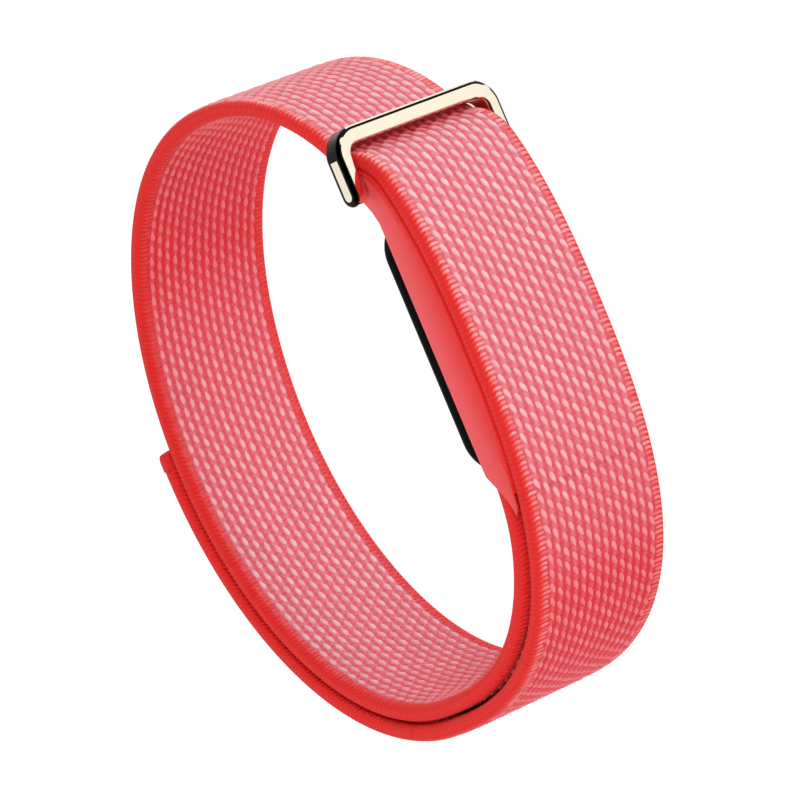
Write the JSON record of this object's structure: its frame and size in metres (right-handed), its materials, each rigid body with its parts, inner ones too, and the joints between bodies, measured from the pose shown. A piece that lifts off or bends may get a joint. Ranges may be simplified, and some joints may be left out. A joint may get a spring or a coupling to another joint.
{
  "type": "wrist activity tracker on a knitted band",
  "caption": "Screenless wrist sensor pod under a knitted one-piece band that loops through a gold slide ring and closes with a long hook-and-loop tail.",
  "frame": {"origin": "under the middle of the closed band lying on its side, on the plane its ring's lower arm touches", "axes": "+X along the loop's length towards its slide ring end, +Y from the carrier's top into the wrist hole, +Z across the strap, up when the band lies on its side"},
  "size_m": [0.0698, 0.058, 0.022],
  "materials": {
    "knit": "knitted",
    "sewn_edge": "ribbed",
    "hook_tape": "hooked",
    "carrier_moulding": "matte",
    "ring_metal": "polished pale gold plate",
    "pin_steel": "ground",
    "pod_gloss": "gloss",
    "gasket_rubber": "matte",
    "window_glass": "tinted",
    "black_plastic": "matte",
    "board_green": "solder mask",
    "emitter_green": "clear",
    "emitter_red": "clear",
    "contact_metal": "plated",
    "battery_foil": "foil pouch",
    "battery_tape": "matte"
  },
  "bodies": {
    "band": {"strap_wrist_run": "knit", "strap_top_run": "knit", "strap_anchor": "sewn_edge", "carrier": "carrier_moulding", "ring_pin": "pin_steel"},
    "ring": {"slide_ring": "ring_metal"},
    "tail_a": {"strap_tail_1": "knit"},
    "tail_b": {"strap_tail_2": "knit"},
    "tail_c": {"strap_tail_3": "knit"},
    "tail_d": {"strap_tail_4": "knit", "hook_tape": "hook_tape", "tail_tip": "sewn_edge"},
    "pod": {"pod_case": "pod_gloss", "pod_cover": "pod_gloss", "case_gasket": "gasket_rubber", "sensor_window": "window_glass", "photodiode_left": "window_glass", "photodiode_right": "window_glass", "light_baffle": "black_plastic", "board_connector": "black_plastic", "motion_sensor": "black_plastic", "radio_chip": "black_plastic", "sensor_board": "board_green", "main_board": "board_green", "green_emitter_left": "emitter_green", "green_emitter_right": "emitter_green", "red_emitter": "emitter_red", "charge_contact_1": "contact_metal", "charge_contact_2": "contact_metal", "charge_contact_3": "contact_metal", "battery_cell": "battery_foil", "battery_tape": "battery_tape", "vibration_motor": "pin_steel"}
  },
  "joints": [
    {"name": "pod_release", "type": "slide", "parent": "band", "child": "pod", "axis": [0, 1, 0], "range_m": [0, 0.009]},
    {"name": "ring_swing", "type": "hinge", "parent": "band", "child": "ring", "pos_m": [0.0197, -0.02235, 0.011], "axis": [0, 0, -1], "range_deg": [0, 50]},
    {"name": "tail_peel", "type": "hinge", "parent": "band", "child": "tail_a", "pos_m": [-0.02196, -0.02473, 0.011], "axis": [0, 0, 1], "range_deg": [0, 24]},
    {"name": "tail_peel_2", "type": "hinge", "parent": "tail_a", "child": "tail_b", "pos_m": [-0.03458, -0.00629, 0.011], "axis": [0, 0, 1], "range_deg": [0, 24]},
    {"name": "tail_peel_3", "type": "hinge", "parent": "tail_b", "child": "tail_c", "pos_m": [-0.02894, 0.01597, 0.011], "axis": [0, 0, 1], "range_deg": [0, 24]},
    {"name": "tail_peel_4", "type": "hinge", "parent": "tail_c", "child": "tail_d", "pos_m": [-0.01307, 0.02666, 0.011], "axis": [0, 0, 1], "range_deg": [0, 24]}
  ]
}
